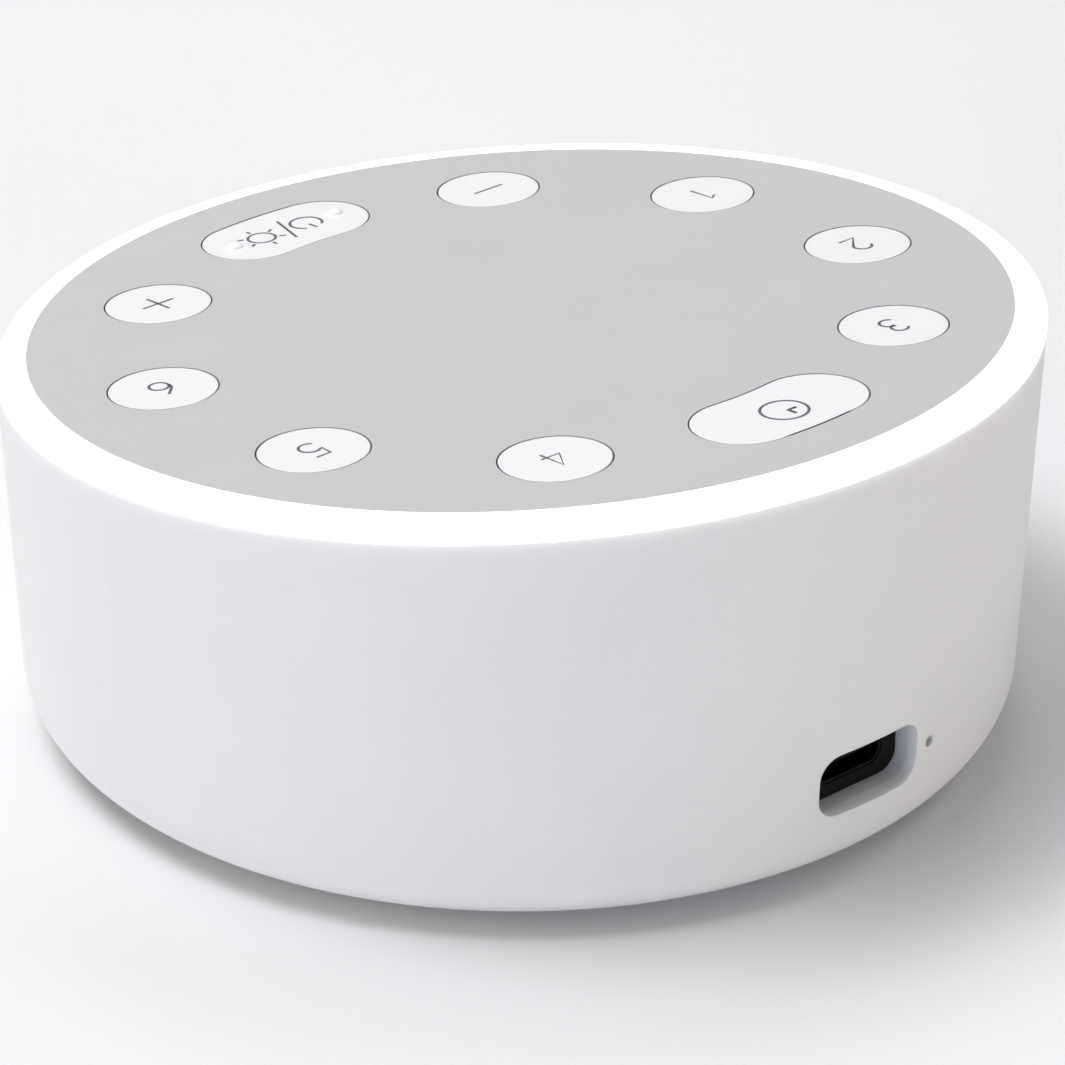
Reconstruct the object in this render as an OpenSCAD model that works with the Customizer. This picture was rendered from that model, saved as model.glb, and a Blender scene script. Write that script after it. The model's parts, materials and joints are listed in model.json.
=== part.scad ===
// White noise sound machine: a low round bedside unit with a slanted keypad top,
// a glowing rim, a speaker that fires down through the base, and a charging port.
// Origin on the table under the middle, +Z up, the front of the keypad towards -Y.

/* [Body] */
// Radius of the body at the height of the keypad's middle
body_r = 53.2; // [53.2:0.1:55]
// Height of the keypad's middle above the body's bottom edge
body_h = 41.3; // [41:0.5:50]
// Slant of the keypad down towards the front, in degrees
slant = 5; // [4:0.5:6]
// Lean of the side wall in towards the bottom, in degrees
wall_draft = 2.2; // [1.8:0.1:2.4]
// Radius of the rounded bottom edge
bottom_round = 5.5; // [5.2:0.1:6]
// Thickness of the body's wall
wall = 2.2; // [2:0.1:2.3]

/* [Keypad] */
// Radius of the grey panel
panel_r = 50; // [49.6:0.1:50]
// Thickness of the grey panel
panel_t = 1.6; // [1.4:0.1:1.6]
// Radius of the circle that the buttons stand on
button_circle_r = 38.3; // [37.5:0.1:38.5]
// Radius of a round button
button_r = 5.5; // [5:0.02:5.5]
// Half of the angle that a long button is swept through, in degrees
long_half_angle = 6.6; // [4:0.2:8]
// Gap round each button
button_gap = 0.12; // [0.1:0.01:0.2]
// How far a button travels when it is pressed
button_travel = 0.5; // [0.3:0.1:0.5]

/* [Glowing rim] */
// Height of the rim that shows on the side
rim_side = 2; // [1.8:0.1:2.4]
// Rounding of the rim's outer edge
rim_round = 1.6; // [1:0.1:1.6]

/* [Charging port] */
// Width of the port's opening
port_w = 13; // [12:0.1:13.4]
// Height of the port's opening
port_h = 6.4; // [6:0.1:6.8]
// Corner radius of the port's opening
port_corner = 2.2; // [1.8:0.1:2.4]
// Height of the port's middle above the body's bottom edge
port_up = 10.5; // [10:0.1:11]
// Depth of the port's opening in front of the black insert
port_depth = 3.2; // [3:0.1:3.6]

/* [Speaker] */
// Radius of the speaker's flange
speaker_r = 25.5; // [25:0.1:26]
// How far in front of the middle the speaker sits
speaker_forward = 15.5; // [15:0.1:16]
// Distance between the rows of holes in the grille
grille_pitch = 4; // [3.6:0.1:4]
// Rings of holes round the grille's middle hole
grille_rings = 5; // [3:1:5]

/* [Feet] */
// How far the rubber feet stand below the body
foot_proud = 1.2; // [0.8:0.1:2]
// Radius of a foot
foot_r = 5; // [4:0.5:5]

/* [Hidden] */
$fn = 96;
eps = 0.01;

// Colours as the photo shows them
white = [0.93, 0.93, 0.94];
glow_white = [1, 1, 0.98];
panel_grey = [0.8, 0.8, 0.81];
cap_white = [0.96, 0.96, 0.97];
black = [0.09, 0.09, 0.1];
board_green = [0.12, 0.4, 0.25];
steel = [0.72, 0.73, 0.75];
brass = [0.82, 0.68, 0.35];

// Heights above the table
body_z = foot_proud;
panel_z = body_z + body_h;
floor_top = body_z + wall;
above_all = panel_z + 12;

// Depths below the top of the panel, square to it
panel_bottom = -panel_t;
flange_top = panel_bottom - 0.1;
flange_t = 0.9;
flange_bottom = flange_top - flange_t;
deck_top = flange_bottom - button_travel - 0.2;
deck_t = 1.1;
deck_bottom = deck_top - deck_t;
stem_bottom = deck_bottom - 0.2;
switch_top = stem_bottom - 1;
switch_h = 3.4;
board_top = switch_top - switch_h;
board_t = 1.6;
board_bottom = board_top - board_t;

// Places of the buttons round the circle, from the reader's right, in degrees
button_step = 36;
power_angle = 270;
timer_angle = 90;
volume_down_angle = power_angle - button_step;
volume_up_angle = power_angle + button_step;
function sound_angle(i) = i <= 3 ? timer_angle + (4 - i) * button_step : timer_angle - (i - 3) * button_step;
button_angles = [for (i = [0:9]) timer_angle + i * button_step];
long_angles = [power_angle, timer_angle];
round_angles = [for (a = button_angles) if (a != power_angle && a != timer_angle) a];

// Buttons: rounding of the top edge, top's thickness, flange under the panel, stems
cap_edge = 0.15;
cap_skin = 1.2;
cap_flange = 0.9;
stem_r = 2;
guide_r = 1.2;
plunger_r = 1.7;

// Rim and deck radii
seam = 0.05;
rim_bottom = seam - rim_side;
ring_in = panel_r + seam;
ring_out = body_r + 0.1;
tongue_in = panel_r - 0.8;
tongue_out = panel_r + 0.6;
tongue_bottom = deck_bottom;
deck_r = tongue_in - 0.2;
deck_rim_in = button_circle_r + button_r + 1.6;
deck_hub_r = button_circle_r - button_r - 2.4;
deck_rib = 1.2;
deck_boss_r = 5;
deck_spokes = 6;
vent_r = 4.5;
vent_circle_r = 16;

// Screw places
deck_screw_r = deck_r - 2.4;
deck_screw_angles = [36, 144, 216, 324];
deck_screw_thread_r = 1;
deck_screw_l = 8;
deck_post_r = 2.3;
deck_post_h = 12;
deck_post_rib_t = 1.6;
deck_post_rib_l = 8;
board_post_r = 24;
board_post_angles = [45, 135, 225, 315];
board_screw_thread_r = 1.1;
board_post_out_r = 2.5;
base_screw_r = 39.6;
base_screw_angles = [64, 116, 200, 340];
foot_circle_r = 37.5;
foot_angles = [45, 135, 225, 315];

// Base plate
plate_r = 44.5;
plate_t = 2;
plate_z = floor_top - plate_t;
ledge_in = 42.8;
ledge_t = 1.6;
foot_pocket = 0.8;
boss_r = 3;
boss_top = floor_top + 10;
boss_rib_t = 1.4;
boss_rib_l = 14;
boss_hole_h = 8.5;
rib_t = 1.2;
wall_rib_angles = [0, 180, 250, 290];
wall_rib_top = panel_z - 14;
plate_gap = 0.15;
self_tap_r = 1.4;
base_hole_r = 1.6;
thread_gap = 0.02;
screw_play = 0.15;

// Charging port, its board and the light beside it
port_z = body_z + port_up;
port_face_y = wall_r(port_z);
insert_front = port_face_y - port_depth;
insert_t = 2;
sleeve_wall = 1.5;
port_flare_grow = 0.3;
usb_w = 8.94;
usb_h = 3.26;
usb_l = 7.3;
usb_skin = 0.3;
usb_back_t = 0.8;
tongue_half_w = 3.3;
tongue_half_t = 0.35;
usb_front = insert_front - 0.1;
usb_board_t = 1.2;
usb_board_top = port_z - usb_h / 2;
usb_board_front = insert_front - insert_t - 0.4;
usb_board_l = 12.2;
usb_post_x = 7;
usb_screw_r = 1;
usb_post_y = usb_board_front - 8.6;
pinhole_x = -8.7;
pinhole_r = 0.6;
pinhole_z = body_z + 10.3;
light_pipe_l = 3.9;

// Speaker, heights from the base plate's inner face up
gasket_t = 0.8;
lip_t = 0.4;
flange_z = floor_top + gasket_t + lip_t;
speaker_flange_t = 1;
flange_top_z = flange_z + speaker_flange_t;
cone_edge_r = 17.6;
cone_edge_t = 0.5;
coil_r = 6.5;
spider_z = flange_z + 8;
basket_back_z = flange_z + 10.4;
top_plate_z = basket_back_z + 1;
top_plate_t = 2;
magnet_t = 6;
magnet_r = 15.5;
magnet_in = 8.6;
pole_r = 14;
coil_gap = 0.8;
yoke_z = top_plate_z + top_plate_t + magnet_t;
ear_r = speaker_r + 2.3;
ear_angles = [25, 155, 215, 325];
ear_half_w = 3.2;
speaker_screw_r = 1.1;
speaker_flange_in = 20.7;
basket_back_r = 16.2;
spider_seat_r = 12.6;

// Battery
cell_r = 9.15;
cell_l = 65;
cell_y = 21.5;
cell_z = floor_top + 1.2 + cell_r;
strap_w = 7;
strap_t = 0.8;
strap_in = cell_r + 0.15;
strap_foot_l = 5;
strap_hook = 0.8;
strap_places = [-24, 24];
strap_screw_r = 1;
strap_screw_y = cell_y - strap_in - strap_t - strap_foot_l / 2;

// Outer radius of the drafted side wall at height z
function wall_r(z) = body_r - (panel_z - z) * tan(wall_draft);

// Puts its children on the slanted panel: origin at the panel's middle, +Z square out of it
module on_panel() {
    translate([0, 0, panel_z]) rotate([slant, 0, 0]) children();
}

// Copies its children round the Z axis at radius r and the given angles
module at_angles(angles, r) {
    for (a = angles) rotate([0, 0, a]) translate([r, 0, 0]) children();
}

// A ring or, with r_in of 0, a disc between heights z0 and z1
module ring(r_out, r_in, z0, z1) {
    translate([0, 0, z0]) difference() {
        cylinder(h = z1 - z0, r = r_out);
        if (r_in > 0) translate([0, 0, -eps]) cylinder(h = z1 - z0 + 2 * eps, r = r_in);
    }
}

// A block given by its lowest and highest corners
module block(lo, hi) {
    translate(lo) cube(hi - lo);
}

// A pan-head screw with its head's underside at the origin, pointing down
module pan_screw(r, length, head_r, head_h) {
    difference() {
        union() {
            translate([0, 0, -length]) cylinder(h = length, r = r);
            cylinder(h = head_h, r = head_r);
        }
        cross_recess(head_h, head_r * 0.55, 0.6);
    }
}

// The cross in a screw's head, cut down from height top
module cross_recess(top, reach, depth) {
    half_w = 0.25;
    for (turn = [0, 90]) rotate([0, 0, turn]) block([-reach, -half_w, top - depth], [reach, half_w, top + 1]);
}

// ---------------------------------------------------------------- body shell

// Half section of the body's outside, moved in by t all round
module body_section(t, top) {
    round_z = body_z + bottom_round;
    round_x = wall_r(round_z) - bottom_round / cos(wall_draft);
    r = bottom_round - t;
    polygon([
        [0, body_z + t],
        [round_x, body_z + t],
        [round_x, round_z],
        [round_x + r * cos(wall_draft), round_z - r * sin(wall_draft)],
        [wall_r(top) - t / cos(wall_draft), top],
        [0, top]]);
    translate([round_x, round_z]) circle(r);
}

module body_form(t, top) {
    rotate_extrude() body_section(t, top);
}

// Everything that is more than d below the panel's plane is kept clear of this block
module above_plane(d) {
    reach = 1.5 * body_r;
    on_panel() block([-reach, -reach, d], [reach, reach, reach]);
}

// Rounded rectangle in the X-Z plane, drawn along +Y from y0 to y1
module port_form(w, h, corner, y0, y1) {
    translate([0, y1, port_z]) rotate([90, 0, 0]) linear_extrude(height = y1 - y0) {
        square([w - 2 * corner, h], center = true);
        square([w, h - 2 * corner], center = true);
        for (x = [-1, 1], z = [-1, 1])
            translate([x * (w / 2 - corner), z * (h / 2 - corner)]) circle(corner);
    }
}

// Flat section of the flare: half is its half width at the narrow end
module flare_side(half, depth, grow) {
    polygon([[-half, 0], [half, 0], [half + grow, depth], [-half - grow, depth]]);
}

// The flared mouth of the port: the same rounded rectangle, wider by grow at y1
module port_flare(y0, y1, grow) {
    depth = y1 - y0;
    cx = port_w / 2 - port_corner;
    cz = port_h / 2 - port_corner;
    translate([0, y0, port_z]) rotate([-90, 0, 0]) {
        for (x = [-cx, cx], z = [-cz, cz])
            translate([x, z, 0]) cylinder(h = depth, r1 = port_corner, r2 = port_corner + grow);
        rotate([90, 0, 90]) translate([0, 0, -cx]) linear_extrude(height = 2 * cx)
            flare_side(port_h / 2, depth, grow);
        rotate([90, 0, 0]) translate([0, 0, -cz]) linear_extrude(height = 2 * cz)
            flare_side(port_w / 2, depth, grow);
    }
}

// Bosses, posts and ribs moulded inside the shell, before they are trimmed to it
module shell_inner_features() {
    ring(body_r, ledge_in, floor_top, floor_top + ledge_t);
    at_angles(base_screw_angles, base_screw_r) {
        translate([0, 0, floor_top]) cylinder(h = boss_top - floor_top, r = boss_r);
        block([0, -boss_rib_t / 2, floor_top], [boss_rib_l, boss_rib_t / 2, boss_top - 2]);
    }
    on_panel() at_angles(deck_screw_angles, deck_screw_r) {
        translate([0, 0, deck_bottom - deck_post_h]) cylinder(h = deck_post_h, r = deck_post_r);
        block([0, -deck_post_rib_t / 2, deck_bottom - deck_post_h],
            [deck_post_rib_l, deck_post_rib_t / 2, deck_bottom - 0.3]);
    }
    at_angles(wall_rib_angles, 0)
        block([plate_r + 3.5, -rib_t / 2, floor_top], [body_r, rib_t / 2, wall_rib_top]);
    port_form(port_w + 2 * sleeve_wall, port_h + 2 * sleeve_wall, port_corner + sleeve_wall,
        insert_front - insert_t, port_face_y + 1);
}

module housing() {
    color(white) difference() {
        union() {
            difference() {
                body_form(0, above_all);
                body_form(wall, above_all + 1);
            }
            intersection() {
                body_form(wall / 2, above_all);
                shell_inner_features();
            }
        }
        above_plane(-rim_side);
        ring(plate_r + plate_gap, 0, body_z - 1, floor_top);
        ring(ledge_in, 0, body_z - 1, floor_top - eps);
        at_angles(base_screw_angles, base_screw_r)
            translate([0, 0, floor_top - eps]) cylinder(h = boss_hole_h, r = self_tap_r + thread_gap);
        on_panel() at_angles(deck_screw_angles, deck_screw_r)
            translate([0, 0, deck_bottom - deck_screw_l])
                cylinder(h = deck_screw_l + eps, r = deck_screw_thread_r + thread_gap);
        port_form(port_w, port_h, port_corner, insert_front - insert_t - 1, port_face_y + 1);
        port_flare(port_face_y - port_depth / 2, port_face_y + 0.4, port_flare_grow);
        translate([pinhole_x, usb_board_front, pinhole_z]) rotate([-90, 0, 0])
            cylinder(h = body_r - usb_board_front, r = pinhole_r);
    }
}

// Glowing rim: a rounded diffuser on the wall's top, with a tongue inside the wall
// and a seat that the panel's edge rests on
module light_ring() {
    color(glow_white) intersection() {
        body_form(seam / 2, above_all);
        on_panel() rotate_extrude() {
            polygon([
                [tongue_in, tongue_bottom],
                [tongue_out, tongue_bottom],
                [tongue_out, rim_bottom],
                [ring_out, rim_bottom],
                [ring_out, -rim_round],
                [ring_out - rim_round, -rim_round],
                [ring_out - rim_round, 0],
                [ring_in, 0],
                [ring_in, panel_bottom],
                [tongue_in, panel_bottom]]);
            translate([ring_out - rim_round, -rim_round]) intersection() {
                circle(rim_round);
                square(rim_round);
            }
        }
    }
}

// -------------------------------------------------------------------- keypad

// All ten openings of the keypad, from height z0 to z1, each r round its button's middle line.
// A long opening is a circle swept along the button circle.
module button_openings(r, z0, z1) {
    at_angles(round_angles, button_circle_r) ring(r, 0, z0, z1);
    for (a = long_angles) {
        rotate([0, 0, a - long_half_angle]) rotate_extrude(angle = 2 * long_half_angle)
            translate([button_circle_r - r, z0]) square([2 * r, z1 - z0]);
        at_angles([a - long_half_angle, a + long_half_angle], button_circle_r) ring(r, 0, z0, z1);
    }
}

module top_panel() {
    color(panel_grey) on_panel() difference() {
        ring(panel_r, 0, panel_bottom, 0);
        button_openings(button_r + button_gap, panel_bottom - 1, 1);
    }
}

// Half section of a button from its middle line out: top, rounded edge and flange
module cap_section() {
    difference() {
        union() {
            polygon([
                [0, 0],
                [button_r - cap_edge, 0],
                [button_r - cap_edge, -cap_edge],
                [button_r, -cap_edge],
                [button_r, flange_top],
                [button_r + cap_flange, flange_top],
                [button_r + cap_flange, flange_bottom],
                [0, flange_bottom]]);
            translate([button_r - cap_edge, -cap_edge]) intersection() {
                circle(cap_edge);
                square(cap_edge);
            }
        }
        translate([0, flange_bottom - 1]) square([button_r - cap_skin, 1 - flange_bottom - cap_skin]);
    }
}

// The stem under a button, which presses its switch
module cap_stem(r) {
    translate([0, 0, stem_bottom]) cylinder(h = -cap_skin - stem_bottom, r = r);
}

module round_button(angle) {
    color(cap_white) on_panel() at_angles([angle], button_circle_r) {
        rotate_extrude() cap_section();
        cap_stem(stem_r);
    }
}

// A long button has a middle stem for its switch and a guide pin at each end
module long_button(angle) {
    color(cap_white) on_panel() rotate([0, 0, angle]) {
        rotate([0, 0, -long_half_angle]) rotate_extrude(angle = 2 * long_half_angle)
            translate([button_circle_r, 0]) {
                cap_section();
                mirror([1, 0]) cap_section();
            }
        for (a = [-1, 1]) rotate([0, 0, a * long_half_angle]) translate([button_circle_r, 0, 0]) {
            rotate_extrude() cap_section();
            cap_stem(guide_r);
        }
        translate([button_circle_r, 0, 0]) cap_stem(stem_r);
    }
}

module timer_button() {
    long_button(timer_angle);
}

// The power and light button has a raised dot near each end, to be found in the dark
module power_light_button() {
    dot_r = 1.2;
    dot_sink = 0.85;
    dot_x = 6.8;
    dot_y = -38.1;
    long_button(power_angle);
    color(cap_white) on_panel() for (x = [-dot_x, dot_x]) intersection() {
        translate([x, dot_y, -dot_sink]) sphere(dot_r);
        block([x - dot_r, dot_y - dot_r, -0.5], [x + dot_r, dot_y + dot_r, dot_r]);
    }
}

module volume_up_button() {
    round_button(volume_up_angle);
}

module volume_down_button() {
    round_button(volume_down_angle);
}

module sound_1_button() {
    round_button(sound_angle(1));
}

module sound_2_button() {
    round_button(sound_angle(2));
}

module sound_3_button() {
    round_button(sound_angle(3));
}

module sound_4_button() {
    round_button(sound_angle(4));
}

module sound_5_button() {
    round_button(sound_angle(5));
}

module sound_6_button() {
    round_button(sound_angle(6));
}

// Frame under the panel: carries it, guides the buttons' stems and holds the board
module button_deck() {
    spoke_step = 360 / deck_spokes;
    color(white) on_panel() difference() {
        union() {
            ring(deck_r, 0, deck_bottom, deck_top);
            ring(deck_r, deck_rim_in, deck_bottom, panel_bottom);
            ring(deck_hub_r, deck_hub_r - deck_rib, deck_bottom, panel_bottom);
            ring(deck_boss_r, 0, deck_bottom, panel_bottom);
            at_angles([for (i = [1:deck_spokes]) i * spoke_step], 0)
                block([deck_boss_r - 1, -deck_rib / 2, deck_bottom],
                    [deck_hub_r - deck_rib / 2, deck_rib / 2, panel_bottom]);
            at_angles(board_post_angles, board_post_r)
                ring(board_post_out_r, 0, board_top, deck_bottom + eps);
        }
        at_angles(button_angles, button_circle_r) ring(stem_r + 0.25, 0, deck_bottom - 1, deck_top + 1);
        for (a = long_angles) at_angles([a - long_half_angle, a + long_half_angle], button_circle_r)
            ring(guide_r + 0.1, 0, deck_bottom - 1, deck_top + 1);
        at_angles([for (i = [1:deck_spokes]) (i - 0.5) * spoke_step], vent_circle_r)
            ring(vent_r, 0, deck_bottom - 1, deck_top + 1);
        at_angles(deck_screw_angles, deck_screw_r) {
            ring(deck_screw_thread_r + screw_play, 0, deck_bottom - 1, 0);
            ring(2, 0, deck_top, 0);
        }
        at_angles(board_post_angles, board_post_r)
            ring(board_screw_thread_r + thread_gap, 0, board_top - 1, deck_top - 0.6);
    }
}

module deck_screws() {
    color(steel) on_panel() at_angles(deck_screw_angles, deck_screw_r)
        translate([0, 0, deck_top]) pan_screw(deck_screw_thread_r, deck_screw_l, 1.8, 1.3);
}

// ------------------------------------------------------ switches and the board

// The plunger of a button's switch, from under the stem into the switch
module plunger(angle) {
    color(black) on_panel() at_angles([angle], button_circle_r)
        ring(plunger_r, 0, switch_top - 0.6, stem_bottom);
}

module power_light_plunger() {
    plunger(power_angle);
}

module timer_plunger() {
    plunger(timer_angle);
}

module volume_up_plunger() {
    plunger(volume_up_angle);
}

module volume_down_plunger() {
    plunger(volume_down_angle);
}

module sound_1_plunger() {
    plunger(sound_angle(1));
}

module sound_2_plunger() {
    plunger(sound_angle(2));
}

module sound_3_plunger() {
    plunger(sound_angle(3));
}

module sound_4_plunger() {
    plunger(sound_angle(4));
}

module sound_5_plunger() {
    plunger(sound_angle(5));
}

module sound_6_plunger() {
    plunger(sound_angle(6));
}

// Ten square push switches, one under each button
module switch_bodies() {
    half = 3;
    color(steel) on_panel() at_angles(button_angles, button_circle_r) difference() {
        block([-half, -half, board_top], [half, half, switch_top]);
        ring(plunger_r + 0.08, 0, switch_top - 1.3, switch_top + 1);
    }
}

module main_board() {
    board_r = 43.6;
    color(board_green) on_panel() difference() {
        ring(board_r, 0, board_bottom, board_top);
        at_angles(board_post_angles, board_post_r)
            ring(board_screw_thread_r + screw_play, 0, board_bottom - 1, board_top + 1);
    }
}

module board_screws() {
    color(steel) on_panel() at_angles(board_post_angles, board_post_r)
        translate([0, 0, board_bottom]) mirror([0, 0, 1]) pan_screw(board_screw_thread_r, 6, 2.1, 1.3);
}

// Lamps of the night light, in pairs between the switches, at the board's edge
module ring_leds() {
    pair = 6;
    led_circle_r = 41.4;
    half_w = 1.4;
    half_l = 1.75;
    color(glow_white) on_panel()
        at_angles([for (a = button_angles, s = [-1, 1]) a + button_step / 2 + s * pair], led_circle_r)
            block([-half_w, -half_l, board_top], [half_w, half_l, board_top + 1.9]);
}

// A chip on the board's underside, with its pins on two or four sides
module chip(x, y, w, l, h, pins, sides) {
    pin_w = 0.3;
    translate([x, y, board_bottom]) {
        block([-w / 2, -l / 2, -h], [w / 2, l / 2, -0.1]);
        for (turn = sides, i = [0:pins - 1]) rotate([0, 0, turn])
            translate([(i - (pins - 1) / 2) * w / (pins + 1), 0, 0])
                block([-pin_w / 2, l / 2 - 0.2, -h / 2], [pin_w / 2, l / 2 + 1, 0]);
    }
}

module sound_processor() {
    color(black) on_panel() chip(0, 6, 10, 10, 1.5, 10, [0, 90, 180, 270]);
}

module amplifier_chip() {
    color(black) on_panel() chip(-17, -2, 5, 4, 1.6, 4, [0, 180]);
}

module memory_chip() {
    color(black) on_panel() chip(16, 2, 5.2, 5.2, 1.8, 4, [0, 180]);
}

// Round capacitors that smooth the amplifier's supply
module board_capacitors() {
    can_r = 3.15;
    can_h = 6.4;
    row_y = 26;
    color(steel) on_panel() for (x = [-22, -14, 14]) translate([x, row_y, 0])
        difference() {
            ring(can_r, 0, board_bottom - can_h, board_bottom);
            ring(can_r + 0.15, can_r - 0.3, board_bottom - 1.6, board_bottom - 1);
        }
}

// ------------------------------------------------------- ribbon between boards

ribbon_w = 7;
ribbon_t = 0.3;
ribbon_bend = 1.6;
ribbon_y = 33.4;
usb_socket_z = usb_board_top + 1;
board_under_z = panel_z + ribbon_y * tan(slant) + board_bottom / cos(slant);
board_socket_z = board_under_z - 1.4;
socket_h = 2;
socket_l = 3.2;
socket_half_w = 4.6;

module ribbon_sockets() {
    color(cap_white) {
        block([-socket_half_w, ribbon_y + ribbon_bend, usb_board_top],
            [socket_half_w, ribbon_y + ribbon_bend + socket_l, usb_board_top + socket_h]);
        difference() {
            block([-socket_half_w, ribbon_y - ribbon_bend - socket_l, board_socket_z - 1],
                [socket_half_w, ribbon_y - ribbon_bend, board_under_z + 2]);
            above_plane(board_bottom);
        }
    }
}

// Flat cable: out of the charging board's socket, up, and back into the main board's
module ribbon_cable() {
    up0 = usb_socket_z + ribbon_bend;
    up1 = board_socket_z - ribbon_bend;
    color(cap_white) translate([-ribbon_w / 2, 0, 0]) rotate([90, 0, 90]) linear_extrude(height = ribbon_w) {
        translate([ribbon_y - ribbon_t / 2, up0]) square([ribbon_t, up1 - up0]);
        bend(ribbon_y + ribbon_bend, up0, 180);
        bend(ribbon_y - ribbon_bend, up1, 0);
    }
}

// A quarter of a bend of the flat cable, round the centre y, z
module bend(y, z, turn) {
    translate([y, z]) rotate([0, 0, turn]) intersection() {
        difference() {
            circle(ribbon_bend + ribbon_t / 2);
            circle(ribbon_bend - ribbon_t / 2);
        }
        square(2 * ribbon_bend);
    }
}

// -------------------------------------------------------------- charging port

module usb_board() {
    half = 11;
    color(board_green) difference() {
        block([-half, usb_board_front - usb_board_l, usb_board_top - usb_board_t],
            [half, usb_board_front, usb_board_top]);
        for (x = [-usb_post_x, usb_post_x]) translate([x, usb_post_y, 0])
            ring(usb_screw_r + 0.2, 0, usb_board_top - 3, usb_board_top + 1);
    }
}

module usb_board_screws() {
    color(steel) for (x = [-usb_post_x, usb_post_x]) translate([x, usb_post_y, usb_board_top])
        pan_screw(usb_screw_r, 5, 1.9, 1.2);
}

// Rounded slot shape of the charging socket, along Y
module socket_form(w, h, y0, y1) {
    translate([0, y1, port_z]) rotate([90, 0, 0]) linear_extrude(height = y1 - y0) {
        square([w - h, h], center = true);
        for (x = [-1, 1]) translate([x * (w - h) / 2, 0]) circle(h / 2);
    }
}

module usb_shell() {
    back = usb_front - usb_l;
    color(steel) difference() {
        socket_form(usb_w, usb_h, back, usb_front);
        socket_form(usb_w - 2 * usb_skin, usb_h - 2 * usb_skin, back + usb_back_t, usb_front + 1);
    }
}

module usb_tongue() {
    color(black) block([-tongue_half_w, usb_front - usb_l + usb_back_t, port_z - tongue_half_t],
        [tongue_half_w, usb_front - 0.9, port_z + tongue_half_t]);
}

// Twelve contacts on each face of the tongue
module usb_contacts() {
    count = 12;
    pitch = 0.5;
    half_w = 0.13;
    half_t = 0.03;
    color(brass) for (i = [1:count], side = [-1, 1])
        translate([(i - (count + 1) / 2) * pitch, 0, port_z + side * (tongue_half_t + half_t)])
            block([-half_w, usb_front - usb_l + 1.4, -half_t], [half_w, usb_front - 1.5, half_t]);
}

module port_insert() {
    slack = 0.14;
    insert_back = insert_front - insert_t;
    color(black) difference() {
        port_form(port_w - slack, port_h - slack, port_corner - slack / 2, insert_back, insert_front);
        socket_form(usb_w + slack, usb_h + slack, insert_back - 1, insert_front + 1);
    }
}

module status_led() {
    half_w = 0.8;
    lamp_h = 2;
    color(glow_white) block([pinhole_x - half_w, usb_board_front - 1.4, usb_board_top],
        [pinhole_x + half_w, usb_board_front - 0.2, usb_board_top + lamp_h]);
}

// Clear rod from the status lamp into the pinhole, set a little back from the outside
module status_light_pipe() {
    color([0.85, 0.88, 0.9]) translate([pinhole_x, usb_board_front, pinhole_z]) rotate([-90, 0, 0])
        cylinder(h = light_pipe_l, r = pinhole_r - 0.05);
}

// -------------------------------------------------------------------- speaker

// Puts its children on the speaker's axis
module at_speaker() {
    translate([0, -speaker_forward, 0]) children();
}

// Pressed basket: flange with four ears, open conical wall, spider shelf and back
module speaker_basket() {
    skin = 0.8;
    back_hole_r = 7.8;
    window_half_w = 5;
    color(black) at_speaker() difference() {
        union() {
            ring(speaker_r, speaker_flange_in, flange_z, flange_top_z);
            at_angles(ear_angles, 0) {
                block([speaker_flange_in + 1.3, -ear_half_w, flange_z], [ear_r, ear_half_w, flange_top_z]);
                translate([ear_r, 0, 0]) ring(ear_half_w, 0, flange_z, flange_top_z);
            }
            rotate_extrude() {
                polygon([
                    [speaker_flange_in + 0.9, flange_top_z],
                    [basket_back_r, basket_back_z],
                    [basket_back_r, top_plate_z],
                    [back_hole_r, top_plate_z],
                    [back_hole_r, top_plate_z - skin],
                    [basket_back_r - skin, top_plate_z - skin],
                    [speaker_flange_in, flange_top_z]]);
                polygon([
                    [spider_seat_r, spider_z - skin],
                    [basket_back_r + 1.2, spider_z - skin],
                    [basket_back_r + 0.7, spider_z],
                    [spider_seat_r, spider_z]]);
            }
        }
        at_angles(ear_angles, ear_r) ring(speaker_screw_r + 0.2, 0, flange_z - 1, flange_top_z + 1);
        at_angles([0:60:300], 0)
            block([cone_edge_r, -window_half_w, flange_top_z + 1],
                [speaker_r, window_half_w, spider_z - skin - 0.4]);
    }
}

module speaker_gasket() {
    color(black) at_speaker() ring(speaker_r - 0.5, speaker_flange_in + 0.5, floor_top, floor_top + gasket_t);
}

// Half-roll surround between the flange and the cone's edge
module speaker_surround() {
    roll_mid = 19.1;
    roll_r = 1.5;
    lip_z = flange_z - lip_t;
    lip_in = cone_edge_r - 1.1;
    inner_z = flange_z + cone_edge_t;
    color(black) at_speaker() rotate_extrude() {
        translate([roll_mid + roll_r - lip_t, lip_z]) square([24 - roll_mid - roll_r + lip_t, lip_t]);
        translate([roll_mid + roll_r - lip_t, lip_z]) square([lip_t, inner_z - lip_z + eps]);
        translate([lip_in, inner_z]) square([roll_mid - roll_r + lip_t - lip_in, lip_t]);
        translate([roll_mid, inner_z]) intersection() {
            difference() {
                circle(roll_r);
                circle(roll_r - lip_t);
            }
            translate([-roll_r, 0]) square([2 * roll_r, roll_r]);
        }
    }
}

// Paper cone with a flat edge, from the surround in to the voice coil
module speaker_cone() {
    neck_z = flange_z + 6;
    skin = 0.45;
    color([0.16, 0.16, 0.17]) at_speaker() rotate_extrude() polygon([
        [cone_edge_r, flange_z],
        [cone_edge_r, flange_z + cone_edge_t],
        [cone_edge_r - 1.3, flange_z + cone_edge_t],
        [coil_r + 0.6, neck_z + skin],
        [coil_r, neck_z + skin],
        [coil_r, neck_z],
        [cone_edge_r - 1.1, flange_z]]);
}

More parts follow.
